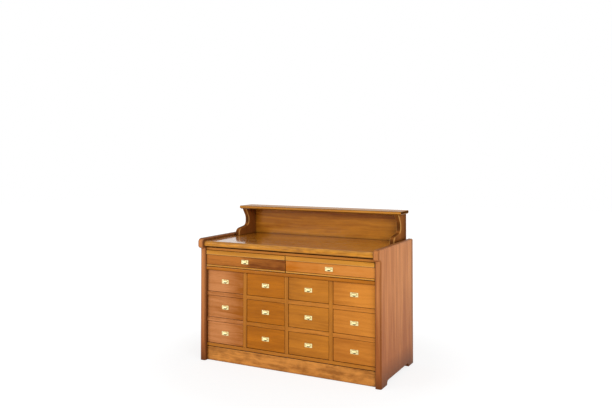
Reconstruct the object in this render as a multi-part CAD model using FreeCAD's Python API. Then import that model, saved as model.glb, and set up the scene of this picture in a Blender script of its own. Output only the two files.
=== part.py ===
import FreeCAD, Part
import math
import os

from FreeCAD import Vector

# A free-standing dry sink: two thick side boards with low rims above a worktop,
# two wide drawers over twelve small ones, and a raised gallery shelf at the back.
# Millimetres, +Z up, front towards -Y. The origin is the middle of the footprint
# of the whole piece, on the floor.

# ---- Driving dimensions -------------------------------------------------------

WIDTH = 1400.0              # over the side boards
SIDE_DEPTH = 648.0          # side board, front edge to rear edge
RIM_TOP = 884.0             # top of the side boards, above the floor
SIDE_BOARD = 44.0           # thickness of a side board
EAR_REACH = 36.0            # how far the ears stand forward of the side boards

WORKTOP_TOP = 864.0
WORKTOP = 40.0
WORKTOP_NOSE = 18.0         # bullnose forward of the side boards' front edge

PLINTH_TOP = 100.0
FLOOR_GAP = 2.0             # the plinth stays just clear of the floor
BASE_TOP = 127.0            # top of the bottom board and its moulding
ROW_HEIGHT = 157.0          # opening of one row of small drawers
ROW_RAIL = 28.0             # rail between two rows
ROWS = ("bottom", "middle", "top")
COLUMNS = 4
STILE = 29.0                # upright between two columns
WAIST_RAIL = 26.0           # rail between the small drawers and the wide ones
WIDE_HEIGHT = 119.0         # opening of the wide drawers
BACK_BOARD = 12.0           # thickness of the tongued boards across the back
BACK_BOARDS = 10
PARTITION = 18.0            # upright board behind a stile
TIER_BOARD = 18.0           # board the wide drawers run on

LOWER_SET = 28.0            # setback of rails and stiles, lower tier
UPPER_SET = 14.0            # setback of the top rail, upper tier
RAIL_DEPTH = 22.0

GAP = 2.0                   # round a drawer front
SLIDE_GAP = 0.5             # under and beside a drawer box
FRONT_BOARD = 20.0
FRONT_RECESS = 3.0          # small fronts lie behind their rails
BOX_BOARD = 12.0
BOX_BOTTOM = 6.0
BOX_BOTTOM_LIFT = 8.0       # underside of the drawer bottom above its sides' edge
BOX_LENGTH = 545.0
SMALL_BOX_HEIGHT = 126.0
WIDE_BOX_HEIGHT = 92.0
RUNNER = 20.0

PULL_WIDTH = 56.0
PULL_HEIGHT = 28.0
PULL_PLATE = 2.0
HOOD_RADIUS = 12.0
HOOD_WIDTH = 38.0
HOOD_TAPER = 5.0            # each end of the hood leans in by this at its nose
HOOD_SKIRT = 3.0
HOOD_WALL = 1.6

SHELF_TOP = 1088.0
SHELF = 25.0
SHELF_INSET = 32.0          # each end of the shelf, from the outside of a side
SHELF_SET = 475.0           # setback of the shelf's front edge
GALLERY_BACK_SET = 626.0
GALLERY_REAR_SET = 644.0
BRACKET = 36.0              # thickness of a scroll bracket
BRACKET_CLEAR = 6.0         # between a bracket and the rim beside it

# ---- Worked-out places --------------------------------------------------------

HALF = WIDTH / 2
INSIDE = HALF - SIDE_BOARD
FRONT = (EAR_REACH - SIDE_DEPTH) / 2
REAR = FRONT + SIDE_DEPTH
WORKTOP_UNDER = WORKTOP_TOP - WORKTOP
ROW_PITCH = ROW_HEIGHT + ROW_RAIL
WAIST_UNDER = BASE_TOP + len(ROWS) * ROW_PITCH - ROW_RAIL
WIDE_BASE = WAIST_UNDER + WAIST_RAIL
TIER_UNDER = WIDE_BASE - TIER_BOARD
TOP_RAIL_UNDER = WIDE_BASE + WIDE_HEIGHT
COLUMN = (2 * INSIDE - (COLUMNS - 1) * STILE) / COLUMNS
COLUMN_PITCH = COLUMN + STILE
SHELF_UNDER = SHELF_TOP - SHELF
INNER_REAR = SIDE_DEPTH - BACK_BOARD


def set_back(distance):
    """Y of a plane that lies this far behind the side boards' front edge."""
    return FRONT + distance


# ---- Tools --------------------------------------------------------------------


def outlined(x_low, thickness, corners):
    """A board of any outline, standing in a plane of constant X.

    A corner is (setback, height, radius); a radius above 0 rounds it with a tangent arc.
    """
    points = [Vector(x_low, set_back(c[0]), c[1]) for c in corners]
    edges = []
    here = None
    first = None
    for index, corner in enumerate(corners):
        point = points[index]
        back = (points[index - 1] - point).normalize()
        on = (points[(index + 1) % len(points)] - point).normalize()
        half = back.getAngle(on) / 2
        reach = corner[2] / math.tan(half)
        enter = point + back * reach
        leave = point + on * reach
        if here is None:
            first = enter
        elif here.distanceToPoint(enter) > 1e-6:
            edges.append(Part.LineSegment(here, enter).toShape())
        if corner[2] > 0:
            inward = (back + on).normalize()
            middle = point + inward * (corner[2] / math.sin(half) - corner[2])
            edges.append(Part.Arc(enter, middle, leave).toShape())
        here = leave
    if here.distanceToPoint(first) > 1e-6:
        edges.append(Part.LineSegment(here, first).toShape())
    return Part.Face(Part.Wire(edges)).extrude(Vector(thickness, 0, 0))


def board(x_low, x_high, front, rear, low, high):
    """A plain board between two X values, two setbacks and two heights."""
    size = (x_high - x_low, rear - front, high - low)
    return Part.makeBox(*size, Vector(x_low, set_back(front), low))


def lies_at(edge, axis, value):
    box = edge.BoundBox
    low = getattr(box, axis + "Min")
    high = getattr(box, axis + "Max")
    return abs(low - value) < 1e-4 and abs(high - value) < 1e-4


def soften_front(solid, radius):
    """Round the arrises round the front face of a board."""
    front = solid.BoundBox.YMin
    edges = [e for e in solid.Edges if lies_at(e, "Y", front)]
    return solid.makeFillet(radius, edges)


def long_arrises(solid, axis):
    """The two front edges of a board that run along an axis."""
    front = solid.BoundBox.YMin
    return [e for e in solid.Edges
            if getattr(e.BoundBox, axis + "Length") > 1 and lies_at(e, "Y", front)]


def soften_long(solid, radius):
    """Round the two long front arrises of a board that runs along X."""
    return solid.makeFillet(radius, long_arrises(solid, "X"))


def export(name, *solids):
    shape = solids[0] if len(solids) == 1 else Part.makeCompound(list(solids))
    shape.exportStep("parts/" + name + ".step")


# ---- Case ---------------------------------------------------------------------

SIDE_ROUND = 13.0
FOOT_LENGTH = 108.0
FOOT_CUT = 27.0
FOOT_ROUND = 22.0
EAR_TOP_ROUND = 28.0
EAR_LOW_ROUND = 20.0
EAR_COVE = 16.0
EAR_LOW = 812.0             # underside of the ear, where its cove starts
REBATE = 10.0
V_JOINT = 2.0               # chamfer where two back boards meet
BACK_FOOT = 60.0            # lower edge of the back board


def side_board(side):
    """Board with an ear at its top front and a low arch between two feet."""
    outer = side * HALF
    inner = outer - side * SIDE_BOARD
    x_low = min(outer, inner)
    rear_foot = SIDE_DEPTH - FOOT_LENGTH
    solid = outlined(x_low, SIDE_BOARD, (
        (0, 0, 0),
        (FOOT_LENGTH, 0, 0),
        (FOOT_LENGTH, FOOT_CUT, FOOT_ROUND),
        (rear_foot, FOOT_CUT, FOOT_ROUND),
        (rear_foot, 0, 0),
        (SIDE_DEPTH, 0, 0),
        (SIDE_DEPTH, RIM_TOP, 0),
        (-EAR_REACH, RIM_TOP, EAR_TOP_ROUND),
        (-EAR_REACH, EAR_LOW, EAR_LOW_ROUND),
        (0, EAR_LOW, EAR_COVE),
    ))
    edges = [e for e in solid.Edges
             if e.BoundBox.XLength < 1e-4
             and e.BoundBox.ZMax > FOOT_CUT + 1
             and not (lies_at(e, "Y", REAR) and lies_at(e, "X", inner))]
    solid = solid.makeFillet(SIDE_ROUND, edges)
    rebate_low = min(inner, inner + side * REBATE)
    rebate = board(rebate_low, rebate_low + REBATE, INNER_REAR, SIDE_DEPTH, BACK_FOOT, WORKTOP_UNDER)
    return solid.cut(rebate)


def worktop():
    """One board with a full bullnose along its front."""
    nose = WORKTOP / 2
    return outlined(-INSIDE, 2 * INSIDE, (
        (-WORKTOP_NOSE, WORKTOP_UNDER, nose),
        (SIDE_DEPTH, WORKTOP_UNDER, 0),
        (SIDE_DEPTH, WORKTOP_TOP, 0),
        (-WORKTOP_NOSE, WORKTOP_TOP, nose),
    ))


def column_left(column):
    """X of the left wall of a column's opening; columns count from the left."""
    return -INSIDE + column * COLUMN_PITCH


def row_base(row):
    """Height of the bottom of a row's opening; rows count from the floor."""
    return BASE_TOP + row * ROW_PITCH


BASE_MOULDING = 10.0
BASE_SET = 26.0
SHADOW_GAP = 4.0            # open line between plinth and base moulding
WAIST_SET = 12.0
WAIST_ROUND = 9.0
BASE_ROUND = 4.0
RAIL_ROUND = 1.5
RAIL_BEVEL = 1.0
GROOVE = 7.0                # shadow groove under the worktop, along the top rail
GROOVE_DEPTH = 14.0
PLINTH_BOARD = 20.0
RAIL_REAR = LOWER_SET + RAIL_DEPTH
DIVIDER_SET = UPPER_SET + RAIL_DEPTH + 2


def build_case():
    export("side_left", side_board(-1))
    export("side_right", side_board(1))
    export("worktop", worktop())

    plinth = board(-INSIDE, INSIDE, LOWER_SET, LOWER_SET + PLINTH_BOARD, FLOOR_GAP, PLINTH_TOP)
    export("plinth_board", soften_long(plinth, RAIL_ROUND))

    bottom_front = BASE_SET + BASE_MOULDING
    export("bottom_board", board(-INSIDE, INSIDE, bottom_front, INNER_REAR, PLINTH_TOP, BASE_TOP))
    base = board(-INSIDE, INSIDE, BASE_SET, bottom_front, PLINTH_TOP + SHADOW_GAP, BASE_TOP)
    export("base_moulding", soften_long(base, BASE_ROUND))

    waist = board(-INSIDE, INSIDE, WAIST_SET, RAIL_REAR, WAIST_UNDER, WIDE_BASE)
    export("waist_rail", soften_long(waist, WAIST_ROUND))
    export("tier_board", board(-INSIDE, INSIDE, RAIL_REAR, INNER_REAR, TIER_UNDER, WIDE_BASE))
    top = board(-INSIDE, INSIDE, UPPER_SET, UPPER_SET + RAIL_DEPTH, TOP_RAIL_UNDER, WORKTOP_UNDER)
    groove = board(-INSIDE, INSIDE, UPPER_SET, UPPER_SET + GROOVE_DEPTH,
                   WORKTOP_UNDER - GROOVE, WORKTOP_UNDER)
    export("top_rail", soften_long(top.cut(groove), RAIL_ROUND))

    rebated = INSIDE + REBATE
    width = 2 * rebated / BACK_BOARDS
    backs = []
    for index in range(BACK_BOARDS):
        left = index * width - rebated
        back = board(left, left + width, INNER_REAR, SIDE_DEPTH, BACK_FOOT, WORKTOP_UNDER)
        edges = [e for e in back.Edges if e.BoundBox.ZLength > 1 and lies_at(e, "Y", REAR)]
        backs.append(back.makeChamfer(V_JOINT, edges))
    export("back_boards", *backs)


def build_dividers():
    """Stiles, rails between rows, upright partitions and drawer runners."""
    stiles = []
    partitions = []
    for column in range(1, COLUMNS):
        right = column_left(column)
        stile = board(right - STILE, right, LOWER_SET, RAIL_REAR, BASE_TOP, WAIST_UNDER)
        stiles.append(stile.makeChamfer(RAIL_BEVEL, long_arrises(stile, "Z")))
        middle = right - STILE / 2
        partitions.append(board(middle - PARTITION / 2, middle + PARTITION / 2,
                                RAIL_REAR, INNER_REAR, BASE_TOP, TIER_UNDER))
    wide_divider = board(-PARTITION / 2, PARTITION / 2,
                         DIVIDER_SET, INNER_REAR, WIDE_BASE, WORKTOP_UNDER)
    export("stiles", *stiles)
    export("partitions", *partitions, wide_divider)

    rails = []
    runners = []
    wall = (STILE - PARTITION) / 2
    for row in range(1, len(ROWS)):
        under = row_base(row) - ROW_RAIL
        for column in range(COLUMNS):
            left = column_left(column)
            right = left + COLUMN
            rail = board(left, right, LOWER_SET, RAIL_REAR, under, under + ROW_RAIL)
            rails.append(rail.makeChamfer(RAIL_BEVEL, long_arrises(rail, "X")))
            wall_left = left - (wall if column > 0 else 0)
            wall_right = right + (wall if column < COLUMNS - 1 else 0)
            top = row_base(row)
            for low_x in (wall_left, wall_right - RUNNER):
                runners.append(board(low_x, low_x + RUNNER, RAIL_REAR, INNER_REAR, top - RUNNER, top))
    export("row_rails", *rails)
    export("drawer_runners", *runners)


# ---- Gallery ------------------------------------------------------------------

NECK_SET = 527.0            # setback of the hollow neck at its deepest
NECK_HIGH = 1000.0
NECK_ROUND_HIGH = 60.0
NECK_LOW = 936.0
NECK_ROUND_LOW = 36.0
TOE_SET = 384.0             # setback of the toe's nose
TOE_TOP = 915.0
TOE_ROUND = 42.0
SCROLL_TOP_SET = 482.0
BRACKET_BEVEL = 5.0
SHELF_ROUND = 6.0
SHELF_CHAMFER = 8.0


def bracket(side):
    """Scroll bracket: a hollow neck over a rounded toe."""
    outer = side * (INSIDE - BRACKET_CLEAR)
    x_low = min(outer, outer - side * BRACKET)
    solid = outlined(x_low, BRACKET, (
        (SCROLL_TOP_SET, SHELF_UNDER, 0),
        (NECK_SET, NECK_HIGH, NECK_ROUND_HIGH),
        (NECK_SET, NECK_LOW, NECK_ROUND_LOW),
        (TOE_SET, TOE_TOP, TOE_ROUND),
        (TOE_SET, WORKTOP_TOP, 0),
        (GALLERY_REAR_SET, WORKTOP_TOP, 0),
        (GALLERY_REAR_SET, SHELF_UNDER, 0),
    ))
    edges = [e for e in solid.Edges
             if e.BoundBox.XLength < 1e-4
             and e.BoundBox.YMax < set_back(GALLERY_REAR_SET) - 1
             and e.BoundBox.ZLength > 1]
    return solid.makeChamfer(BRACKET_BEVEL, edges)


def gallery_shelf():
    end = HALF - SHELF_INSET
    solid = board(-end, end, SHELF_SET, GALLERY_REAR_SET, SHELF_UNDER, SHELF_TOP)
    rear = set_back(GALLERY_REAR_SET)
    top = [e for e in solid.Edges if lies_at(e, "Z", SHELF_TOP) and not lies_at(e, "Y", rear)]
    solid = solid.makeFillet(SHELF_ROUND, top)
    under = [e for e in solid.Edges if lies_at(e, "Z", SHELF_UNDER) and not lies_at(e, "Y", rear)]
    return solid.makeChamfer(SHELF_CHAMFER, under)


def build_gallery():
    export("gallery_shelf", gallery_shelf())
    export("gallery_bracket_left", bracket(-1))
    export("gallery_bracket_right", bracket(1))
    inner = INSIDE - BRACKET_CLEAR - BRACKET
    back = board(-inner, inner, GALLERY_BACK_SET, GALLERY_REAR_SET, WORKTOP_TOP, SHELF_UNDER)
    export("gallery_back", back)


# ---- Drawers ------------------------------------------------------------------


def hood(shrink):
    """The hood's form, smaller by a wall thickness on its front, top and ends.

    It is quarter-round seen from its end, and its ends lean in towards its nose.
    """
    radius = HOOD_RADIUS - shrink
    root = HOOD_WIDTH / 2 - shrink
    nose = root - HOOD_TAPER
    wedge = Part.makeWedge(-nose, -radius, -HOOD_SKIRT, -HOOD_SKIRT, -root,
                           nose, 0, radius, radius, root)
    round_side = Part.makeCylinder(radius, 2 * root, Vector(-root, 0, 0), Vector(1, 0, 0))
    skirt = Part.makeBox(2 * root, radius, HOOD_SKIRT, Vector(-root, -radius, -HOOD_SKIRT))
    return wedge.common(round_side.fuse(skirt)).removeSplitter()


PLATE_CORNER = 3.0
MOON_CHORD = 30.0
MOON_SAG = 9.0


def pull():
    """A pressed cup pull: a flat plate with a hood over a half-moon finger hole.

    It is drawn about the axis of its hood, which runs through the plate's middle, with
    the plate's back on Y = 0.
    """
    plate = Part.makeBox(PULL_WIDTH, PULL_PLATE, PULL_HEIGHT,
                         Vector(-PULL_WIDTH / 2, -PULL_PLATE, -PULL_HEIGHT / 2))
    corners = [e for e in plate.Edges if e.BoundBox.YLength > 1]
    plate = plate.makeChamfer(PLATE_CORNER, corners)
    moon_radius = (MOON_CHORD ** 2 / 4 + MOON_SAG ** 2) / (2 * MOON_SAG)
    moon = Part.makeCylinder(moon_radius, 4 * PULL_PLATE,
                             Vector(0, 2 * PULL_PLATE, moon_radius - HOOD_SKIRT - MOON_SAG),
                             Vector(0, -1, 0))
    below = Part.makeBox(PULL_WIDTH, 4 * PULL_PLATE, PULL_HEIGHT,
                         Vector(-PULL_WIDTH / 2, -2 * PULL_PLATE, -HOOD_SKIRT - PULL_HEIGHT))
    return plate.fuse(hood(0)).cut(hood(HOOD_WALL)).cut(moon.common(below)).removeSplitter()


def drawer_box(left, right, front, low, height):
    """Two sides, a back between them and a bottom board held between all three."""
    rear = front + BOX_LENGTH
    side_l = board(left, left + BOX_BOARD, front, rear, low, low + height)
    side_r = board(right - BOX_BOARD, right, front, rear, low, low + height)
    inner_l = left + BOX_BOARD
    inner_r = right - BOX_BOARD
    back = board(inner_l, inner_r, rear - BOX_BOARD, rear, low, low + height)
    bottom = board(inner_l, inner_r, front, rear - BOX_BOARD,
                   low + BOX_BOTTOM_LIFT, low + BOX_BOTTOM_LIFT + BOX_BOTTOM)
    return side_l, side_r, back, bottom


FRONT_ROUND = 2.0
STRIP_HEIGHT = 31.0         # moulded strip along the top of a wide front
STRIP = 8.0
STRIP_ROUND = 5.0
BEAD_HEIGHT = 11.0          # bead along the bottom of a wide front
BEAD = 5.0
WIDE_FRONT_BOARD = 21.0
WIDE_SET = 15.0
WIDE_PULL_HEIGHT = 730.0


def build_drawer(name, left, right, low, fronts, front_rear, box_height, pull_at):
    """Export one drawer: its front, its box and its pull."""
    export(name + "_front", *fronts)
    inset = GAP + SLIDE_GAP
    box = drawer_box(left + inset, right - inset, front_rear, low + SLIDE_GAP, box_height)
    export(name + "_box", *box)
    handle = pull()
    handle.translate(pull_at)
    export(name + "_pull", handle)


def build_small_drawers():
    face = LOWER_SET + FRONT_RECESS
    rear = face + FRONT_BOARD
    for row, row_name in enumerate(ROWS):
        low = row_base(row)
        for column in range(COLUMNS):
            left = column_left(column)
            right = left + COLUMN
            high = low + ROW_HEIGHT
            front = board(left + GAP, right - GAP, face, rear, low + GAP, high - GAP)
            centre = Vector((left + right) / 2, set_back(face), low + ROW_HEIGHT / 2)
            build_drawer("drawer_%s_%d" % (row_name, column + 1), left, right, low,
                         [soften_front(front, FRONT_ROUND)], rear, SMALL_BOX_HEIGHT, centre)


def build_wide_drawers():
    low = WIDE_BASE + GAP
    high = TOP_RAIL_UNDER - GAP
    rear = WIDE_SET + WIDE_FRONT_BOARD
    for name, left, right in (("left", -INSIDE, 0.0), ("right", 0.0, INSIDE)):
        ends = (left + GAP, right - GAP)
        field = board(*ends, WIDE_SET, rear, low, high)
        strip = board(*ends, WIDE_SET - STRIP, WIDE_SET, high - STRIP_HEIGHT, high)
        bead = board(*ends, WIDE_SET - BEAD, WIDE_SET, low, low + BEAD_HEIGHT)
        fronts = [field, soften_long(strip, STRIP_ROUND), soften_long(bead, BEAD - 1)]
        box_left = left + (PARTITION / 2 if left == 0 else 0)
        box_right = right - (PARTITION / 2 if right == 0 else 0)
        centre = Vector((left + right) / 2, set_back(WIDE_SET), WIDE_PULL_HEIGHT)
        build_drawer("drawer_wide_" + name, box_left, box_right, WIDE_BASE,
                     fronts, rear, WIDE_BOX_HEIGHT, centre)


os.makedirs("parts", exist_ok=True)
build_case()
build_dividers()
build_gallery()
build_small_drawers()
build_wide_drawers()
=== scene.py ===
"""Finishes, fittings and a studio for a dry sink cabinet, laid out as an add-on."""

import math
import random

import bpy
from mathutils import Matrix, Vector


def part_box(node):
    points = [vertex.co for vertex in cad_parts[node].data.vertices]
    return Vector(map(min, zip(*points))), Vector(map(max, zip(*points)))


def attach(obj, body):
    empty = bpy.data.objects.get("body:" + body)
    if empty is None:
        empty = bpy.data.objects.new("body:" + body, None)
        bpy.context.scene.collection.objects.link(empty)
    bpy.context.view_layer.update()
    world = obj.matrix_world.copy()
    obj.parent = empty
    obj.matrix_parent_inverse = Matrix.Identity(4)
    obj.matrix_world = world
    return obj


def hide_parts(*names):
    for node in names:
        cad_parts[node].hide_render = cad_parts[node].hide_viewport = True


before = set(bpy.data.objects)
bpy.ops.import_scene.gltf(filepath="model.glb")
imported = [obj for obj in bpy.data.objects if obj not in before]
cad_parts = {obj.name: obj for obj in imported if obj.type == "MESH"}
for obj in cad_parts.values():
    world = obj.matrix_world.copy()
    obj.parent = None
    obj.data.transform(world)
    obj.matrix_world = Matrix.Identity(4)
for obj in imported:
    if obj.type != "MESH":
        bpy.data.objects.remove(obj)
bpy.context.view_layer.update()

bl_info = {
    "name": "Dry sink cabinet",
    "version": (1, 0, 0),
    "blender": (4, 5, 0),
    "location": "3D View > Sidebar > Cabinet",
    "description": "Wood finishes, brass cup pulls and a studio for a dry sink cabinet",
    "category": "Object",
}

MM = 0.001
CUT_SLACK = 0.001 * MM      # how near a cutting plane a point has to be to count as on it

# The camera's frame in pixels, and the width of its sensor in mm.
IMAGE_WIDTH = 612
IMAGE_HEIGHT = 408
SENSOR_WIDTH = 36.0

ROWS = ("bottom", "middle", "top")
COLUMNS = (1, 2, 3, 4)
SMALL_DRAWERS = [f"drawer_{row}_{column}" for row in ROWS for column in COLUMNS]
WIDE_DRAWERS = ["drawer_wide_left", "drawer_wide_right"]
DRAWERS = SMALL_DRAWERS + WIDE_DRAWERS


# ---- Sizes and colours ----


def tint(label, about, value):
    """A setting that holds the colour of a finish, or the two of a wood."""
    return bpy.props.StringProperty(name=label, description=about, default=value)


def length(label, about, value, least):
    """A setting that holds a length, with its value and its least value given in mm."""
    return bpy.props.FloatProperty(name=label, description=about, default=value * MM, min=least * MM,
                                   subtype="DISTANCE", unit="LENGTH")


class CabinetFinishes(bpy.types.PropertyGroup):
    """Colours of the finish as sRGB hex values. A wood has two, of its pale and of its dark grain."""

    # The first column's rose is partly the wood's tone and partly a painted sheen.
    rosy: tint("Rosy fronts and rails", "First column, rosy at the left and golden at the right",
               "#D08850 #A0580A")
    amber: tint("Amber fronts", "Second column's fronts and the waist rail", "#C67512 #9C5806")
    gold: tint("Golden fronts", "Third column's fronts", "#CF8226 #A76418")
    honey: tint("Honey fronts and rails", "Fourth column and the top rail", "#DA8A32 #B36A1E")
    brown: tint("Brown front", "Left wide front", "#BE7228 #763A00")
    pale: tint("Pale front", "Right wide front", "#D88A3C #BE6A08")
    second_rails: tint("Second rails", "Short rails of the second column", "#CF8226 #9C5806")
    third_rails: tint("Third rails", "Short rails of the third column", "#DA8A32 #A76418")
    rail: tint("Rails", "Base moulding and stiles", "#C87E26 #9C5C12")
    plinth: tint("Plinth", "Plinth board", "#DA9040 #A06222")
    # The sides' pink cast is partly a painted sheen.
    side: tint("Sides and back", "Side boards and back boards", "#EC9E5E #AE6432")
    top: tint("Worktop", "Worktop behind its lip", "#C4801E #8C4E0A")
    # The lip's paler tone is painted light on the worktop's front, which faces the lamps, and its pale
    # curls are partly a painted highlight.
    lip: tint("Worktop's lip", "Strip along the worktop's front", "#E09424 #925406")
    gallery: tint("Gallery back", "Board behind the gallery", "#D68E2A #9C5A10")
    bracket: tint("Brackets", "Scroll brackets", "#B06C30 #743E14")
    moulding: tint("Mouldings", "Wide fronts' mouldings and the gallery shelf", "#DA9432 #B06E18")
    inner: tint("Inside", "Unstained wood inside", "#D9B98A #B48F60")
    # Painted shade: the near-black of the groove under the worktop.
    slit_shade: tint("Slit", "Dust and stain in the groove under the worktop", "#2A1004 #2A1004")
    # Painted shade for corners, gaps, arrises and shaded faces, and the stain of end grain.
    stain_and_shade: tint("Corners", "Stain and lacquer gathered in corners and gaps", "#3A1A06")
    # Painted highlight along upper arrises and lit rounds.
    glint: tint("Arrises", "Lacquer rubbed pale along upper arrises", "#F0B868")
    brass: tint("Brass", "Polished brass pulls", "#FFF1B2")
    screw: tint("Screws", "Brass screws", "#F4DE9A")
    # Tarnished brass and painted shade in the cup and round the screws.
    tarnish_and_shade: tint("Tarnish", "Brass down in the cup and round the screws", "#4E4410")


class PullSizes(bpy.types.PropertyGroup):
    """Sizes of a cup pull and its screws."""

    plate_width: length("Plate width", "Width of the flat plate", 56, 10)
    plate_height: length("Plate height", "Height of the flat plate", 28, 10)
    plate: length("Plate thickness", "Thickness of the flat plate", 2, 0.5)
    plate_corner: length("Plate corner", "Radius of the plate's corners", 3, 0.1)
    hood_radius: length("Hood radius", "How far the hood stands out from the drawer front", 12, 2)
    hood_width: length("Hood width", "Width of the hood at the plate", 38, 10)
    hood_taper: length("Hood taper", "How far each end of the hood leans in at its nose", 5, 0)
    hood_skirt: length("Hood skirt", "Straight part of the hood below its dome", 3, 1)
    hood_wall: length("Hood wall", "Thickness of the pressed brass of the hood", 1.6, 0.5)
    moon_chord: length("Finger hole width", "Width of the half-moon hole under the hood", 30, 5)
    moon_sag: length("Finger hole depth", "Depth of the half-moon hole under the hood", 9, 2)
    screw_reach: length("Screw place", "Distance of each screw from the middle of the plate", 23.4, 5)
    screw_radius: length("Screw head", "Radius of a round screw head", 2.7, 1)


class StudioSettings(bpy.types.PropertyGroup):
    """The camera and the lights."""

    camera_place: bpy.props.FloatVectorProperty(
        name="Camera place", description="Where the camera stands",
        default=(2.243, -4.349, 1.480), subtype="TRANSLATION", unit="LENGTH")
    camera_turn: bpy.props.FloatProperty(
        name="Camera turn", description="How far the camera is turned from straight on",
        default=math.radians(27.2), subtype="ANGLE", unit="ROTATION")
    camera_rise: bpy.props.FloatProperty(
        name="Camera rise", description="How far the camera looks up",
        default=math.radians(1.35), subtype="ANGLE", unit="ROTATION")
    focal_pixels: bpy.props.FloatProperty(
        name="Focal length in pixels", description="Focal length of the camera in image pixels",
        default=674.9, min=100)
    level_line: bpy.props.FloatProperty(
        name="Axis height in pixels", description="Image row that the camera's axis meets",
        default=140.0)
    sky: bpy.props.FloatProperty(
        name="Room light", description="Strength of the light from all round",
        default=0.5, min=0)
    key: bpy.props.FloatProperty(
        name="Key light", description="Power of the large soft lamp at the right, in watts",
        default=100.0, min=0)
    fill: bpy.props.FloatProperty(
        name="Fill light", description="Power of the soft lamp at the left, in watts",
        default=45.0, min=0)


# ---- Helpers ----


def linear(hex_value):
    """Linear RGBA of an sRGB hex value."""
    digits = hex_value.lstrip("#")
    parts = [int(digits[i:i + 2], 16) / 255 for i in (0, 2, 4)]
    curve = [c / 12.92 if c <= 0.04045 else ((c + 0.055) / 1.055) ** 2.4 for c in parts]
    return (*curve, 1.0)


def add_node(tree, kind, inputs=None, **settings):
    """Add a node, set its options, and link or set its inputs."""
    made = tree.nodes.new(kind)
    for name, value in settings.items():
        setattr(made, name, value)
    for name, value in (inputs or {}).items():
        socket = made.inputs[name]
        if isinstance(value, bpy.types.NodeSocket):
            tree.links.new(value, socket)
        else:
            socket.default_value = value
    return made


def new_material(name):
    """A material and its empty node tree."""
    material = bpy.data.materials.new(name)
    material.use_nodes = True
    material.node_tree.nodes.clear()
    return material, material.node_tree


def deselect():
    """Leave edit mode and select nothing."""
    if bpy.context.mode != "OBJECT":
        bpy.ops.object.mode_set(mode="OBJECT")
    bpy.ops.object.select_all(action="DESELECT")


def take(piece):
    """Make one object the active and the only selected one."""
    deselect()
    bpy.context.view_layer.objects.active = piece
    piece.select_set(True)


def edit_all(piece):
    """Open one object in edit mode with all of it selected."""
    take(piece)
    bpy.ops.object.mode_set(mode="EDIT")
    bpy.ops.mesh.select_all(action="SELECT")


def leave_edit():
    bpy.ops.object.mode_set(mode="OBJECT")


def settle():
    """Write the active object's place, turn and scale into its mesh."""
    bpy.ops.object.transform_apply(location=True, rotation=True, scale=True)
    return bpy.context.object


def add_box(middle, size):
    """A box about its middle."""
    deselect()
    bpy.ops.mesh.primitive_cube_add(size=1, location=middle, scale=size)
    return settle()


def slice_off(piece, place, normal):
    """Cut away what lies beyond a plane and close the cut."""
    edit_all(piece)
    bpy.ops.mesh.bisect(plane_co=place, plane_no=Vector(normal).normalized(), threshold=CUT_SLACK,
                        clear_outer=True, use_fill=True)
    leave_edit()


def pick(piece, mode, parts, test):
    """Open a piece in edit mode with only the faces or edges selected that pass a test."""
    edit_all(piece)
    bpy.ops.mesh.select_mode(type=mode)
    bpy.ops.mesh.select_all(action="DESELECT")
    leave_edit()
    for part in parts:
        part.select = test(part)
    bpy.ops.object.mode_set(mode="EDIT")


def push_faces(piece, test, move):
    """Push the faces that pass a test along a move, with new sides behind them."""
    pick(piece, "FACE", piece.data.polygons, test)
    bpy.ops.mesh.extrude_region_move(TRANSFORM_OT_translate={"value": move})
    leave_edit()


def round_edges(piece, test, radius, segments):
    """Round the edges whose two end points pass a test."""
    points = piece.data.vertices
    pick(piece, "EDGE", piece.data.edges,
         lambda edge: test(points[edge.vertices[0]].co, points[edge.vertices[1]].co))
    bpy.ops.mesh.bevel(offset=radius, segments=segments, affect="EDGES")
    leave_edit()


def apply_modifier(piece, kind, **values):
    """Add a modifier with its settings and apply it."""
    take(piece)
    change = piece.modifiers.new(kind.lower(), kind)
    for name, value in values.items():
        setattr(change, name, value)
    bpy.ops.object.modifier_apply(modifier=change.name)


def combine(piece, other, operation):
    """Join a solid to another or cut it out, and drop it."""
    apply_modifier(piece, "BOOLEAN", operation=operation, solver="EXACT", object=other)
    bpy.data.objects.remove(other)


def smooth(piece, angle=35):
    """Shade the rounds smooth and let each large flat face keep its own normal beside them."""
    take(piece)
    bpy.ops.object.shade_smooth_by_angle(angle=math.radians(angle))
    apply_modifier(piece, "WEIGHTED_NORMAL", keep_sharp=True)


def copied(piece):
    """A copy of a piece with a mesh of its own."""
    twin = bpy.data.objects.new(piece.name, piece.data.copy())
    bpy.context.scene.collection.objects.link(twin)
    return twin


def seat(piece, name, body, slot, material, *nodes):
    """Name a finished piece, dress it and hang it on its body."""
    piece.name = name
    piece.data.name = name
    piece.data.materials.clear()
    piece.data.materials.append(material)
    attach(piece, body)
    if nodes:
        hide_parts(*nodes)


def dress(names, material):
    """Give CAD nodes a material."""
    for name in names:
        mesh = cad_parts[name].data
        mesh.materials.clear()
        mesh.materials.append(material)


def softened(node, body, slot, material, radius):
    """Stand a copy of a CAD board in its place, with fine rounded arrises that catch the light."""
    piece = copied(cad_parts[node])
    edit_all(piece)
    bpy.ops.mesh.remove_doubles(threshold=0.01 * MM)
    bpy.ops.mesh.dissolve_limited(angle_limit=math.radians(0.5))
    leave_edit()
    apply_modifier(piece, "BEVEL", width=radius * MM, segments=3, limit_method="ANGLE",
                   angle_limit=math.radians(38))
    smooth(piece)
    seat(piece, node + "_board", body, slot, material, node)
    return piece


# ---- Materials ----

TURN_TO_GRAIN = {
    "X": (0, 0, 0),
    "Y": (0, 0, -math.pi / 2),
    "Z": (0, math.pi / 2, 0),
}

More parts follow.
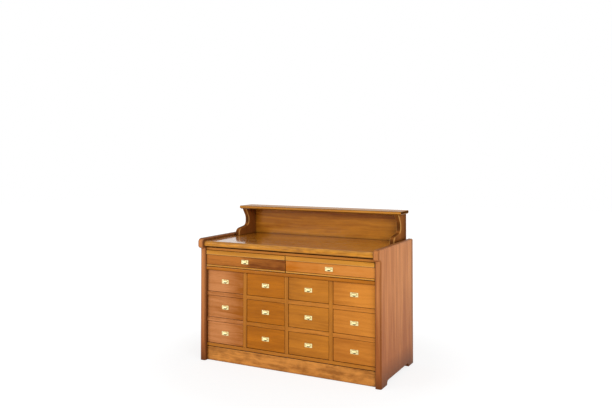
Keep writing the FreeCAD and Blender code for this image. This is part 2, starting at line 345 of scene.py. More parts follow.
# The layers of a board's pattern, broad to fine: how long and how wide their marks are in
# mm, their detail, the span of the noise that they use, and their share of the contrast.
GRAIN_LAYERS = (
    (900, 75, 3.0, 0.3, 0.7, 0.26),
    (600, 17, 4.0, 0.28, 0.72, 0.30),
    (170, 2.6, 3.0, 0.25, 0.75, 0.12),
)
FIGURE_MARKS = (95, 45, 3.0, 0.3, 0.7)      # the same of a cloudy figure
CURL_MARKS = (70, 16, 2.0, 0.35, 0.65)      # and of the short curls in the worktop's lip
PORE_MARKS = (9, 0.5, 2.0, 0, 1)            # and of the pores, coarser than real ones so that they show
WAVES = (420 * MM, 160 * MM, 160 * MM)      # size of the slow waves that bend the bands
MIDDLE_TONE = 0.54          # tone of a board before its layers, dark at 0 and pale at 1
BOARD_TONE = 0.12           # how much paler or darker one board of a panel may be
RING_GAP = 9 * MM           # from one growth ring to the next
RING_TONE = 0.12            # how much darker a growth ring is
WAVELENGTH = 0.314          # of the wave texture at a scale of 1
CURL_TONE = 0.25
PORE_SHARE = 0.4            # how far a pore takes on its colour
PORE_DIM = 0.32             # a pore's colour, as a share of the light of the dark grain
PORE_DEPTH = 0.08 * MM
BOARD_JUMP = (3, 3, 3)      # how far off in the pattern, in metres, each board of a panel may be taken

CORNER_REACH = 26           # mm into a corner that the painted shade reaches
FRONT_REACH = 12            # the same round a small drawer front
CUP_REACH = 15              # mm into a hood's hollow that the brass is darker, partly tarnished and partly painted shade
LOW_SHADE_RISE = 160 * MM        # how far up a board the painted shade near the floor reaches
REAR_REACH = 60 * MM        # how far in front of its rear edge a side gets painted shade
REAR_SHARE = 0.4            # how much darker it is there
HOOD_SHADE_RADIUS = 13.8 * MM          # radius of the painted shade on a front behind a pull, hidden under its plate
LIP_COAT = 0.2              # how much of the worktop's gloss its lip still has
GLASSY = 1.5                # refractive index of wood's surface and of lacquer


def dimmed(hex_value, share):
    """Linear RGBA of a share of an sRGB hex value's light."""
    return (*(share * c for c in linear(hex_value)[:3]), 1.0)


def coated(tree, colour, coats):
    """A colour with coats over it, each a share and a colour of its own."""
    for share, coat_colour in coats:
        colour = add_node(tree, "ShaderNodeMix", {
            "Factor": share, 6: colour, 7: coat_colour,
        }, data_type="RGBA").outputs[2]
    return colour


def greatest(tree, shares):
    """The greatest of several shares at each point."""
    most = 0.0
    for share in shares:
        most = add_node(tree, "ShaderNodeMath", {0: share, 1: most}, operation="MAXIMUM").outputs[0]
    return most


def noise_tone(tree, vector, along, across, detail, low, high, reach):
    """A noise whose features are this long and this wide in mm, as a tone from -reach to reach."""
    spot = add_node(tree, "ShaderNodeVectorMath", {
        0: vector,
        1: (1 / (along * MM), 1 / (across * MM), 1 / (across * MM)),
    }, operation="MULTIPLY").outputs[0]
    value = add_node(tree, "ShaderNodeTexNoise", {
        "Vector": spot, "Scale": 1.0, "Detail": detail, "Roughness": 0.58,
    }).outputs[0]
    return add_node(tree, "ShaderNodeMapRange", {
        "Value": value, "From Min": low, "From Max": high, "To Min": -reach, "To Max": reach,
    }).outputs[0]


def change_along(tree, here, axis, start, end, first, last):
    """A value that goes from a first to a last between two places on an axis, in metres."""
    return add_node(tree, "ShaderNodeMapRange", {
        "Value": add_node(tree, "ShaderNodeSeparateXYZ", {"Vector": here}).outputs[axis],
        "From Min": start, "From Max": end, "To Min": first, "To Max": last,
    }).outputs[0]


def arris_shares(tree, reach):
    """How near an upper arris and how near a lower or upright arris a point lies, from 0 to 1."""
    flat = add_node(tree, "ShaderNodeNewGeometry").outputs["Normal"]
    rounded = add_node(tree, "ShaderNodeBevel", {"Radius": reach * MM}, samples=8).outputs["Normal"]
    likeness = add_node(tree, "ShaderNodeVectorMath", {0: rounded, 1: flat}, operation="DOT_PRODUCT")
    near = add_node(tree, "ShaderNodeMapRange", {
        "Value": likeness.outputs["Value"], "From Min": 1.0, "From Max": 0.8,
    }).outputs[0]
    upward = add_node(tree, "ShaderNodeMapRange", {
        "Value": add_node(tree, "ShaderNodeSeparateXYZ", {"Vector": rounded}).outputs["Z"],
        "From Min": 0.1, "From Max": 0.4,
    }).outputs[0]
    upper = add_node(tree, "ShaderNodeMath", {0: near, 1: upward}, operation="MULTIPLY").outputs[0]
    lower = add_node(tree, "ShaderNodeMath", {0: near, 1: upper}, operation="SUBTRACT").outputs[0]
    return upper, lower


def corner_share(tree, reach):
    """0 on an open face, towards 1 deep in a corner or a gap."""
    open_share = add_node(tree, "ShaderNodeAmbientOcclusion", {
        "Distance": reach * MM,
    }, samples=8).outputs["AO"]
    return add_node(tree, "ShaderNodeMapRange", {
        "Value": open_share, "From Min": 0.85, "From Max": 0.2,
    }).outputs[0]


def facing_parts(tree):
    """How far the surface faces along each axis."""
    normal = add_node(tree, "ShaderNodeNewGeometry").outputs["Normal"]
    return add_node(tree, "ShaderNodeSeparateXYZ", {"Vector": normal}).outputs


def round_share(tree, axis, strength, kind="ABSOLUTE"):
    """0 on a flat face, towards a strength on a broad round that turns from the front towards an axis.

    With MAXIMUM as the kind only the rounds that turn down or to the left count.
    """
    parts = facing_parts(tree)
    product = add_node(tree, "ShaderNodeMath", {0: parts[axis], 1: parts["Y"]}, operation="MULTIPLY")
    size = add_node(tree, "ShaderNodeMath", {0: product.outputs[0], 1: 0.0}, operation=kind).outputs[0]
    return add_node(tree, "ShaderNodeMath", {0: size, 1: 2 * strength}, operation="MULTIPLY").outputs[0]


def facing_share(tree, axis, low, high):
    """0 on a face that looks across an axis, towards high on one that looks along it."""
    size = add_node(tree, "ShaderNodeMath", {0: facing_parts(tree)[axis]}, operation="ABSOLUTE").outputs[0]
    return add_node(tree, "ShaderNodeMapRange", {
        "Value": size, "From Min": low, "From Max": 1.0, "To Min": 0.0, "To Max": high,
    }).outputs[0]


def inward_share(tree, here, high):
    """0 on the outer face of a board at either end of the cabinet, towards high on its inner face."""
    # Place times facing is negative on an inner face, by as much as it lies from the middle.
    turned = add_node(tree, "ShaderNodeVectorMath", {
        0: here, 1: add_node(tree, "ShaderNodeNewGeometry").outputs["Normal"],
    }, operation="MULTIPLY").outputs[0]
    return change_along(tree, turned, "X", -0.3, -0.62, 0.0, high)


def rear_share(tree, here, rear):
    """0 on the open side of a board, more beside its rear edge, as painted shade."""
    beside = change_along(tree, here, "Y", rear - REAR_REACH, rear - REAR_REACH / 2, 0.0, 1.0)
    return add_node(tree, "ShaderNodeMath", {
        0: beside, 1: facing_share(tree, "X", 0.5, REAR_SHARE),
    }, operation="MULTIPLY").outputs[0]


def hood_shade_share(tree, here, middle):
    """1 in the painted shade behind a pull, seen through the pull's half-moon hole."""
    away = add_node(tree, "ShaderNodeVectorMath", {0: here, 1: middle}, operation="DISTANCE")
    return add_node(tree, "ShaderNodeMath", {
        0: away.outputs["Value"], 1: HOOD_SHADE_RADIUS,
    }, operation="LESS_THAN").outputs[0]


def lip_shares(tree, here, tone, rear):
    """1 on a strip in front of its rear face, and the pale part of its grain there, both painted light."""
    curl = add_node(tree, "ShaderNodeMath", {
        0: tone, 1: noise_tone(tree, here, *CURL_MARKS, CURL_TONE),
    }, operation="ADD", use_clamp=True).outputs[0]
    within = add_node(tree, "ShaderNodeMath", {
        0: add_node(tree, "ShaderNodeSeparateXYZ", {"Vector": here}).outputs["Y"], 1: rear,
    }, operation="LESS_THAN").outputs[0]
    pale = add_node(tree, "ShaderNodeMath", {0: within, 1: curl}, operation="MULTIPLY").outputs[0]
    return within, pale


def glued_boards(tree, here, along, axis, width):
    """Give each board of a panel its own piece of the pattern, and a tone of its own."""
    parts = add_node(tree, "ShaderNodeSeparateXYZ", {"Vector": here})
    index = add_node(tree, "ShaderNodeMath", {0: parts.outputs[axis], 1: width * MM}, operation="DIVIDE")
    whole = add_node(tree, "ShaderNodeMath", {0: index.outputs[0]}, operation="FLOOR")
    shuffle = add_node(tree, "ShaderNodeTexWhiteNoise", {"W": whole.outputs[0]}, noise_dimensions="1D")
    moved = add_node(tree, "ShaderNodeVectorMath", {
        0: shuffle.outputs["Color"], 1: BOARD_JUMP, 2: along,
    }, operation="MULTIPLY_ADD").outputs[0]
    tone = add_node(tree, "ShaderNodeMapRange", {
        "Value": shuffle.outputs["Value"], "To Min": -BOARD_TONE, "To Max": BOARD_TONE,
    }).outputs[0]
    return moved, tone


def wood_tone(tree, here, along, boards, contrast, figure, sway, ramp):
    """The pattern of a board, from 0 for its dark grain to 1 for its pale, and where it is laid."""
    layers = []
    if boards:
        along, board_tone = glued_boards(tree, here, along, *boards)
        layers.append(board_tone)

    # Slow waves bend the bands as in a plain-sawn board.
    wander = add_node(tree, "ShaderNodeTexNoise", {
        "Vector": add_node(tree, "ShaderNodeVectorMath", {
            0: along, 1: tuple(1 / size for size in WAVES),
        }, operation="MULTIPLY").outputs[0],
        "Scale": 1.0, "Detail": 2.0,
    })
    bent = add_node(tree, "ShaderNodeVectorMath", {
        0: wander.outputs["Color"], 1: (0, sway, sway), 2: along,
    }, operation="MULTIPLY_ADD").outputs[0]
    layers += [noise_tone(tree, bent, *marks, share * contrast) for *marks, share in GRAIN_LAYERS]
    if figure:
        layers.append(noise_tone(tree, bent, *FIGURE_MARKS, figure))
    if ramp:
        layers.append(change_along(tree, here, *ramp))
    rings = add_node(tree, "ShaderNodeTexWave", {
        "Vector": bent, "Scale": WAVELENGTH / RING_GAP, "Distortion": 3.0, "Detail": 3.0,
        "Detail Scale": 1.2,
    }, wave_type="RINGS", rings_direction="X").outputs["Fac"]
    layers.append(add_node(tree, "ShaderNodeMapRange", {
        "Value": rings, "From Min": 0.55, "From Max": 1.0, "To Min": 0.0, "To Max": -RING_TONE * contrast,
    }).outputs[0])

    tone = MIDDLE_TONE
    for layer in layers:
        tone = add_node(tree, "ShaderNodeMath", {0: layer, 1: tone}, operation="ADD").outputs[0]
    return add_node(tree, "ShaderNodeClamp", {"Value": tone}).outputs[0], along


def lacquered_wood(name, tones, shades, grain, place=(0, 0, 0), boards=None, contrast=1.0, figure=0.0,
                   sway=0.05, ramp=None, lip=None, roughness=0.42, specular=0.1, coat=0.15,
                   coat_roughness=0.12, dull_ends=False, lining_width=3, glint=0.3, lit_rounds=None,
                   arris=0.35, corner_reach=CORNER_REACH, corner_shade=1.0, end=0.45, shaded_rounds=None,
                   inner_face_shade=0.0, front=0.0, bottom_shade=None, rear=None, hood_shade=None):
    """Clear-lacquered cherry: broad soft bands, cloudy figure, fine growth rings and short pores.

    The lacquer gives a soft gloss over satin wood. Corners, gaps and lower and upright
    arrises are darkened as painted shade, so that every board has a darker outline, upper
    arrises get a painted highlight, and the pores show as fine dark dashes along the grain.

    The pattern: grain is the axis that it runs along, place moves it, boards is the axis
    and the width in mm of the boards that a panel is glued up from, contrast, figure and
    sway are the strengths of its bands, its clouds and its bends, ramp is an axis, two
    places on it and the change of tone at each, and lip is the rear face and the shades of
    a strip glued along the front, whose paler tone is painted light.

    The painted highlights: glint on upper arrises, and lit_rounds, the axis that a broad round
    turns towards and how pale it is there.

    The darker places, painted shade except for end, which is also the stain that end grain
    takes up: arris on lower and upright arrises, gather in corners as deep as corner_reach, end
    on end grain, shaded_rounds on broad rounds, inward on a face turned to the cabinet's middle,
    front on one turned to the front, foot from a lowest place up to a highest, rear beside a
    rear edge, and pocket round the middle of a pull.

    dull_ends says that end grain has no gloss.
    """
    light, dark = shades.split()
    material, tree = new_material(name)
    here = add_node(tree, "ShaderNodeTexCoord").outputs["Object"]
    along = add_node(tree, "ShaderNodeMapping", {
        "Vector": here, "Rotation": TURN_TO_GRAIN[grain], "Location": place,
    }).outputs["Vector"]
    tone, along = wood_tone(tree, here, along, boards, contrast, figure, sway, ramp)
    pores = add_node(tree, "ShaderNodeMapRange", {
        "Value": noise_tone(tree, along, *PORE_MARKS, 1), "From Min": -0.28, "From Max": -0.40,
        "To Min": 0.0, "To Max": PORE_SHARE,
    }).outputs[0]

    # Painted highlight on upper arrises, painted shade on lower and upright arrises and in corners and
    # gaps.
    upper, lower = arris_shares(tree, lining_width)
    strengths = ((upper, glint), (lower, arris), (corner_share(tree, corner_reach), corner_shade))
    arris_highlight, arris_shade, shaded = [
        add_node(tree, "ShaderNodeMath", {0: share, 1: strength}, operation="MULTIPLY").outputs[0]
        for share, strength in strengths
    ]
    # Painted highlights, on arrises and on lit rounds.
    highlit = [arris_highlight]
    if lit_rounds:
        highlit.append(round_share(tree, *lit_rounds))

    # Painted shade, and the darker end grain, which is stain.
    stains_and_shade = [arris_shade, shaded, facing_share(tree, grain, 0.5, end)]
    # Painted shade on broad rounds that turn away from the lamps.
    if shaded_rounds:
        stains_and_shade.append(round_share(tree, *shaded_rounds))
    # Painted shade on inner faces, which the cabinet's own parts shade.
    if inner_face_shade:
        stains_and_shade.append(inward_share(tree, here, inner_face_shade))
    # Painted shade on faces turned to the front.
    if front:
        stains_and_shade.append(facing_share(tree, "Y", 0.6, front))
    # Painted shade that rises from a lowest place: near the floor on a side, under the worktop's nose on
    # its lip.
    if bottom_shade:
        lowest, highest, most = bottom_shade
        stains_and_shade.append(change_along(tree, here, "Z", highest, lowest, 0.0, most))
    # Painted shade beside a rear edge.
    if rear is not None:
        stains_and_shade.append(rear_share(tree, here, rear))
    # Painted shade behind a pull, seen through its half-moon hole.
    if hood_shade:
        stains_and_shade.append(hood_shade_share(tree, here, hood_shade))

    # The finish in its order: bare wood, lip painted paler as light, pores, painted highlights,
    # painted shade with end-grain stain. A gloss that is the same all over stays a plain number.
    coats = [(tone, linear(light))]
    gloss = coat
    if dull_ends:
        gloss = add_node(tree, "ShaderNodeMapRange", {
            "Value": facing_share(tree, grain, 0.5, 1.0), "To Min": coat, "To Max": 0.0,
        }).outputs[0]
    if lip:
        lip_rear, lip_shades = lip
        lip_light, lip_dark = lip_shades.split()
        in_lip, pale_in_lip = lip_shares(tree, here, tone, lip_rear)
        coats += [(in_lip, linear(lip_dark)), (pale_in_lip, linear(lip_light))]
        gloss = add_node(tree, "ShaderNodeMapRange", {
            "Value": in_lip, "To Min": coat, "To Max": LIP_COAT,
        }).outputs[0]
    coats += [
        (pores, dimmed(dark, PORE_DIM)),
        (greatest(tree, highlit), linear(tones.glint)),
        (greatest(tree, stains_and_shade), linear(tones.stain_and_shade)),
    ]

    sunk = add_node(tree, "ShaderNodeMath", {0: pores, 1: -1.0}, operation="MULTIPLY").outputs[0]
    relief = add_node(tree, "ShaderNodeBump", {
        "Height": sunk, "Strength": 0.35, "Distance": PORE_DEPTH,
    }).outputs["Normal"]
    shader = add_node(tree, "ShaderNodeBsdfPrincipled", {
        "Base Color": coated(tree, linear(dark), coats), "Roughness": roughness, "Normal": relief,
        "IOR": GLASSY, "Specular IOR Level": specular,
        "Coat Weight": gloss, "Coat Roughness": coat_roughness, "Coat IOR": GLASSY,
    })
    add_node(tree, "ShaderNodeOutputMaterial", {"Surface": shader.outputs[0]})
    return material


HAZE_SIZE = 6 * MM
RIPPLE_SIZE = 2.5 * MM
RIPPLE_DEPTH = 0.05 * MM


def polished_brass(name, tone, tarnish_and_shade, roughness):
    """Pressed brass, buffed and lacquered: a pale warm metal, its mirror broken by haze and ripples."""
    material, tree = new_material(name)
    here = add_node(tree, "ShaderNodeTexCoord").outputs["Object"]
    haze = add_node(tree, "ShaderNodeTexNoise", {
        "Vector": here, "Scale": 1 / HAZE_SIZE, "Detail": 3.0,
    }).outputs[0]
    rough = add_node(tree, "ShaderNodeMapRange", {
        "Value": haze, "To Min": roughness * 0.8, "To Max": roughness * 1.25,
    }).outputs[0]
    ripple = add_node(tree, "ShaderNodeTexNoise", {
        "Vector": here, "Scale": 1 / RIPPLE_SIZE, "Detail": 2.0,
    }).outputs[0]
    relief = add_node(tree, "ShaderNodeBump", {
        "Height": ripple, "Strength": 0.15, "Distance": RIPPLE_DEPTH,
    }).outputs["Normal"]
    colour = coated(tree, dimmed(tone, 0.82), [
        (haze, linear(tone)),
        # Darker in hollows: partly tarnished brass, partly painted shade.
        (corner_share(tree, CUP_REACH), linear(tarnish_and_shade)),
    ])
    shader = add_node(tree, "ShaderNodeBsdfPrincipled", {
        "Base Color": colour, "Metallic": 0.65, "Roughness": rough, "Normal": relief,
    })
    add_node(tree, "ShaderNodeOutputMaterial", {"Surface": shader.outputs[0]})
    return material


# ---- Wood ----


SIDE_SHADE_RISE = 600 * MM        # how far up a side the painted shade towards the floor fades out
LIP = 20 * MM               # the worktop's front strip, front to rear
LIP_SHADE = 9 * MM          # how far up the lip the painted shade of the groove below it reaches
RAIL_SLACK = 10 * MM        # how far a rail may reach past the front beside it
SLIT = 8 * MM               # height of the groove under the worktop, with its lower arris


class CABINET_OT_side_boards(bpy.types.Operator):
    """Soften the two side boards and finish them as panels of upright boards"""

    bl_idname = "cabinet.side_boards"
    bl_label = "Side boards"

    def execute(self, context):
        tones = context.scene.cabinet_finishes
        # How much painted shade each side's front edge takes, and how dark its end grain is; on the left
        # side that darker end grain also paints shade on its rim's top.
        for node, front, end in (("side_left", 0.08, 0.8), ("side_right", 0.2, 0.55)):
            # Painted shade on the sides: towards the floor, on inner faces, broad rounds, arrises, front
            # edges and beside the rear edge, with painted highlights on upper arrises.
            wood = lacquered_wood(node + "_cherry_wood", tones, tones.side, "Z",
                                  boards=("Y", 118), contrast=0.9, sway=0.02, specular=0.05, coat=0.06,
                                  arris=0.8, glint=0.25, lining_width=10, shaded_rounds=("X", 0.5),
                                  bottom_shade=(0.0, LOW_SHADE_RISE, 0.7), ramp=("Z", 0.0, SIDE_SHADE_RISE, -0.6, 0.0),
                                  inner_face_shade=0.75, front=front, end=end, rear=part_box(node)[1].y)
            softened(node, "case", "case_wood", wood, 1)
        return {"FINISHED"}


class CABINET_OT_worktop(bpy.types.Operator):
    """Soften the worktop and finish it in a glossier lacquer, grain along its length"""

    bl_idname = "cabinet.worktop"
    bl_label = "Worktop"

    def execute(self, context):
        tones = context.scene.cabinet_finishes
        low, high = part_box("worktop")
        # The worktop takes painted highlights along its rounds and upper arrises, painted shade along its
        # lip's lower edge, and a paler lip as painted light.
        wood = lacquered_wood("worktop_cherry_wood", tones, tones.top, "X",
                              place=(0.4, 1.1, 0.3), figure=0.12, coat=1.0, coat_roughness=0.08,
                              glint=0.15, lit_rounds=("Z", 0.15), bottom_shade=(low.z, low.z + LIP_SHADE, 0.95),
                              lip=(low.y + LIP, tones.lip))
        softened("worktop", "case", "worktop_wood", wood, 1)
        return {"FINISHED"}


# Where a front turns from one tone to another: two places as shares of its width from
# the left, and the change of tone at each. The first column's paler left part is partly
# a painted sheen.
FRONT_RAMPS = {
    "drawer_top_1": (0.45, 0.9, 0.3, -0.36),
    "drawer_middle_1": (0.5, 0.9, 0.22, -0.3),
    "drawer_bottom_1": (0.5, 0.9, 0.28, -0.24),
    "drawer_top_3": (0.0, 0.45, -0.35, 0.1),
    "drawer_bottom_3": (0.0, 0.4, -0.2, 0.0),
    "drawer_top_4": (0.0, 0.6, -0.2, 0.4),
    "drawer_middle_4": (0.0, 0.8, -0.05, 0.25),
    "drawer_bottom_4": (0.0, 1.0, -0.25, -0.1),
    "drawer_wide_left": (0.43, 0.6, 0.4, -0.3),
    "drawer_wide_right": (0.0, 0.8, -0.35, 0.35),
}


def front_ramp(name):
    """The change of tone across a front, between two places in metres."""
    if name not in FRONT_RAMPS:
        return None
    start, end, first, last = FRONT_RAMPS[name]
    low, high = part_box(name + "_front")
    width = high.x - low.x
    return "X", low.x + start * width, low.x + end * width, first, last


def matched_rails(tones):
    """The short rails, each of a tone near that of the fronts in its column."""
    column_shades = (tones.rosy, tones.second_rails, tones.third_rails, tones.honey)
    woods = [
        lacquered_wood(f"rail_{column}_cherry_wood", tones, shades, "X", place=(0.6 * column, 2.3, 0.7),
                       contrast=1.3, figure=0.15, arris=0.15, corner_shade=0.4,
                       ramp=front_ramp(f"drawer_middle_{column}"))
        for column, shades in zip(COLUMNS, column_shades)
    ]
    rails = softened("row_rails", "case", "case_wood", woods[0], 0.6)
    for wood in woods[1:]:
        rails.data.materials.append(wood)
    starts = [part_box(f"drawer_top_{column}_front")[0].x for column in COLUMNS]
    for face in rails.data.polygons:
        face.material_index = sum(face.center.x > start - RAIL_SLACK for start in starts) - 1


class CABINET_OT_case_rails(bpy.types.Operator):
    """Soften and finish the plinth, the mouldings, the rails and the stiles"""

    bl_idname = "cabinet.case_rails"
    bl_label = "Plinth, rails and stiles"

    def execute(self, context):
        tones = context.scene.cabinet_finishes
        along = lacquered_wood("rail_cherry_wood", tones, tones.rail, "X",
                               place=(0, 2.3, 0.7), contrast=1.2, arris=0.5)
        upright = lacquered_wood("stile_cherry_wood", tones, tones.rail, "Z",
                                 place=(1.2, 0.3, 0))
        # The waist rail takes the darker amber tone as painted shade under the wide fronts.
        waist = lacquered_wood("waist_cherry_wood", tones, tones.amber, "X",
                               place=(0.7, 1.3, 0.2))
        plinth = lacquered_wood("plinth_cherry_wood", tones, tones.plinth, "X",
                                place=(2.2, 0.9, 0.4), figure=0.55)
        # The top rail takes the paler honey tone, painted light against the shadow of the worktop's nose,
        # and less painted shade in its corners.
        top = lacquered_wood("top_rail_cherry_wood", tones, tones.honey, "X",
                             place=(0.2, 0.4, 1.1), corner_shade=0.3, arris=0.15)
        slit_shade = lacquered_wood("slit_shade_cherry_wood", tones, tones.slit_shade, "X", specular=0.0, coat=0.0,
                              glint=0.0)
        for node, wood in (("base_moulding", along), ("stiles", upright), ("waist_rail", waist),
                           ("plinth_board", plinth)):
            softened(node, "case", "case_wood", wood, 0.6)
        # The groove along the top rail's top takes the near-black wood, painted shade.
        rail = softened("top_rail", "case", "case_wood", top, 0.6)
        rail.data.materials.append(slit_shade)
        for face in rail.data.polygons:
            face.material_index = face.center.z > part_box("top_rail")[1].z - SLIT
        matched_rails(tones)
        return {"FINISHED"}


class CABINET_OT_inside(bpy.types.Operator):
    """Finish the hidden boards and the drawer boxes in plain sealed wood"""

    bl_idname = "cabinet.inside"
    bl_label = "Back, runners and drawer boxes"

    def execute(self, context):
        tones = context.scene.cabinet_finishes
        along = lacquered_wood("drawer_beech_wood", tones, tones.inner, "Y",
                               roughness=0.55, coat=0.08, coat_roughness=0.3, contrast=0.7, arris=0.15)
        back = lacquered_wood("back_cherry_wood", tones, tones.side, "Z",
                              boards=("X", 133.2), roughness=0.5, coat=0.1, coat_roughness=0.25)
        dress(["bottom_board", "tier_board", "partitions", "drawer_runners"], along)
        dress(["back_boards"], back)
        dress([name + "_box" for name in DRAWERS], along)
        return {"FINISHED"}


class CABINET_OT_gallery(bpy.types.Operator):
    """Soften and finish the gallery shelf, its back board and its scroll brackets"""

    bl_idname = "cabinet.gallery"
    bl_label = "Gallery"

    def execute(self, context):
        tones = context.scene.cabinet_finishes
        # The shelf takes painted shade along its arrises and rounds.
        shelf = lacquered_wood("shelf_cherry_wood", tones, tones.moulding, "X",
                               place=(0.9, 0.2, 1.9), coat=0.4, coat_roughness=0.08, glint=0.0, arris=0.7,
                               specular=0.0, shaded_rounds=("Z", 0.6), end=0.9, dull_ends=True)
        back = lacquered_wood("gallery_back_cherry_wood", tones, tones.gallery, "X",
                              place=(0.1, 0.6, 2.9), figure=0.1)
        # The brackets take painted shade on inner faces, front edges, arrises and beside the rear edge,
        # and painted highlights along their rounded arrises.
        bracket = lacquered_wood("bracket_cherry_wood", tones, tones.bracket, "Z",
                                 place=(1.7, 0.8, 0), specular=0.0, coat=0.03, glint=0.6, arris=0.8,
                                 lining_width=6, lit_rounds=("X", 0.6), inner_face_shade=0.4, front=0.72,
                                 rear=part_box("gallery_bracket_left")[1].y)
        softened("gallery_shelf", "case", "worktop_wood", shelf, 0.6)
        softened("gallery_back", "case", "case_wood", back, 0.6)
        softened("gallery_bracket_left", "case", "case_wood", bracket, 2)
        softened("gallery_bracket_right", "case", "case_wood", bracket, 2)
        return {"FINISHED"}


STRIP_HEIGHT = 31 * MM      # moulded strip along the top of a wide front
STRIP_PROUD = 8 * MM
BEAD_HEIGHT = 11 * MM       # bead along the bottom of a wide front
BEAD_PROUD = 5 * MM
QUIRK = 2.5 * MM            # width and depth of the groove that sets off a moulding
MOULDING_ROUND = 4.6 * MM   # rounding of a moulding's arrises


def wide_front(name, wood, moulding_wood):
    """A wide front: a board with a moulded strip along its top and a bead along its bottom."""
    low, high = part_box(name + "_front")
    front = low.y + STRIP_PROUD
    strip_under = high.z - STRIP_HEIGHT
    bead_top = low.z + BEAD_HEIGHT
    piece = add_box(((low.x + high.x) / 2, (front + high.y) / 2, (low.z + high.z) / 2),
                    (high.x - low.x, high.y - front, high.z - low.z))
    for level in (strip_under, strip_under - QUIRK, bead_top + QUIRK, bead_top):
        edit_all(piece)
        bpy.ops.mesh.bisect(plane_co=(0, 0, level), plane_no=(0, 0, 1), threshold=CUT_SLACK)
        leave_edit()

    def push(lowest, highest, distance):
        """Pull a band of the front face forward, or sink it where the distance is negative."""
        push_faces(piece, lambda face: face.normal.y < -0.9 and lowest < face.center.z < highest,
                   (0, -distance, 0))

    push(strip_under, high.z, STRIP_PROUD)
    push(strip_under - QUIRK, strip_under, -QUIRK)
    push(bead_top, bead_top + QUIRK, -QUIRK)
    push(low.z, bead_top, BEAD_PROUD)
    round_edges(piece, lambda a, b: max(a.y, b.y) < front - BEAD_PROUD / 2, MOULDING_ROUND, 4)
    smooth(piece)
    seat(piece, name + "_front_board", name, "drawer_front_wood", wood, name + "_front")
    piece.data.materials.append(moulding_wood)
    for polygon in piece.data.polygons:
        polygon.material_index = not bead_top < polygon.center.z < strip_under


def pull_centre(name):
    """The middle of the back of a drawer's pull."""
    low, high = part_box(name + "_pull")
    return (low.x + high.x) / 2, high.y, (low.z + high.z) / 2


class CABINET_OT_drawer_fronts(bpy.types.Operator):
    """Soften the drawer fronts and finish each from its own piece of board"""

    bl_idname = "cabinet.drawer_fronts"
    bl_label = "Drawer fronts"

    def execute(self, context):
        tones = context.scene.cabinet_finishes
        column_shades = {
            "1": tones.rosy, "2": tones.amber, "3": tones.gold, "4": tones.honey,
            "left": tones.brown, "right": tones.pale,
        }
        # The mouldings take a painted highlight on their lower rounds, standing for the floor's light.
        moulding = lacquered_wood("moulding_cherry_wood", tones, tones.moulding, "X",
                                  place=(0.3, 1.7, 2.1), glint=0.2, arris=0.15,
                                  lit_rounds=("Z", 0.9, "MAXIMUM"))
        for index, name in enumerate(DRAWERS):
            shades = column_shades[name.split("_")[-1]]
            place = (0.37 * index, 0.51 * index, 0.83 * index)
            wide = name in WIDE_DRAWERS
            # Each front takes painted shade behind its pull and a painted highlight on its upper arrises.
            wood = lacquered_wood(name + "_cherry_wood", tones, shades, "X", place=place,
                                  figure=0.2 if wide else 0.1, glint=0.2, arris=0.15,
                                  corner_shade=1.0 if wide else 0.8, coat=0.08, ramp=front_ramp(name),
                                  corner_reach=CORNER_REACH if wide else FRONT_REACH,
                                  hood_shade=pull_centre(name))
            if wide:
                wide_front(name, wood, moulding)
            else:
                softened(name + "_front", name, "drawer_front_wood", wood, 1)
        return {"FINISHED"}


# ---- Pulls ----

OVERRUN = 6 * MM            # how far a rough form runs past the plane it is trimmed to
HOOD_SOFT = 4 * MM          # rounding of the hood's pressed corners
CLEAR = 0.05 * MM           # how far a cutter passes the face that it opens
PLATE_EASE = 0.35           # rounding of a plate's front arris, as a share of its thickness

# A screw's head, in shares of its radius.
SCREW_DOME = 0.55
SLOT_DEPTH = 0.3
SLOT_WIDTH = 0.28


def hood_form(sizes, shrink):
    """The hood's closed form, drawn about its own axis and smaller by a wall thickness.

    A bar is cut to a rough quarter, given a straight skirt, and its ends are sliced to lean
    in. Its corners are rounded while it still runs past the plate and the mouth.
    """
    radius = sizes.hood_radius - shrink
    root = sizes.hood_width / 2 - shrink
    lean = sizes.hood_taper
    deselect()
    bpy.ops.mesh.primitive_cylinder_add(vertices=72, radius=radius, depth=2 * root + 2 * OVERRUN,
                                        rotation=(0, math.pi / 2, 0))
    form = settle()
    slice_off(form, (0, 0, 0), (0, 0, -1))
    slice_off(form, (0, OVERRUN, 0), (0, 1, 0))
    push_faces(form, lambda face: face.normal.z < -0.9, (0, 0, -sizes.hood_skirt - OVERRUN))
    for side in (-1, 1):
        slice_off(form, (side * root, 0, 0), (side * sizes.hood_radius, -lean, 0))
    apply_modifier(form, "BEVEL", width=HOOD_SOFT - shrink, segments=6, limit_method="ANGLE",
                   angle_limit=math.radians(40))
    return form


def trimmed_hood(sizes, shrink, rear, mouth):
    """A hood's form cut off flat at the plane it starts from and at its mouth."""
    form = hood_form(sizes, shrink)
    slice_off(form, (0, 0, mouth), (0, 0, -1))
    slice_off(form, (0, rear, 0), (0, 1, 0))
    return form


